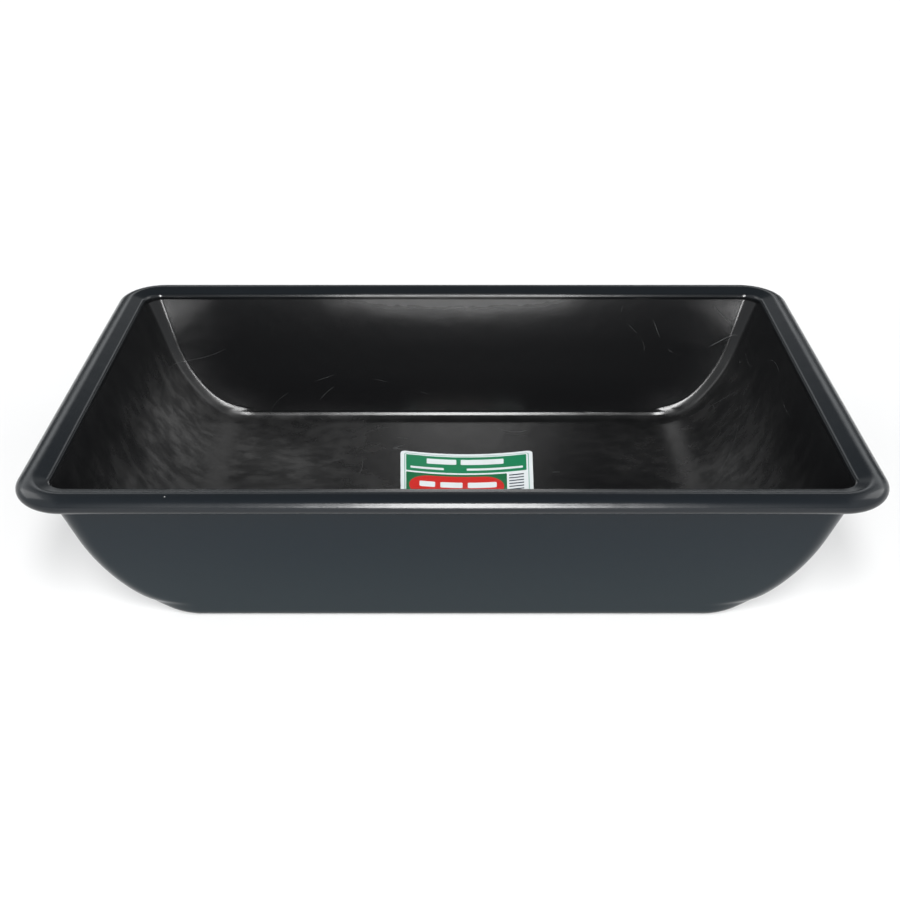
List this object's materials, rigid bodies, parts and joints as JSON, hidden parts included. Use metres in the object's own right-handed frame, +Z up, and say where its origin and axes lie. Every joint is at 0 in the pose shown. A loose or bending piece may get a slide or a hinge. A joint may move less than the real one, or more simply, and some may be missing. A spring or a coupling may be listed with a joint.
{
  "type": "mortar mixing tub",
  "caption": "Shallow rectangular black polyethylene tub with sloping ends and a heavy rounded rim, for mixing mortar or concrete by hand.",
  "frame": {"origin": "centre of the flat underside, on the surface that the tub stands on", "axes": "+X along the tub's length, +Y across its width away from the viewer, +Z up, out of the open top"},
  "size_m": [0.914, 0.61, 0.185],
  "materials": {
    "tub": "satin moulded polyethylene",
    "label": "printed and varnished adhesive film"
  },
  "bodies": {
    "root": {"tub": "tub", "label": "label"}
  },
  "joints": []
}
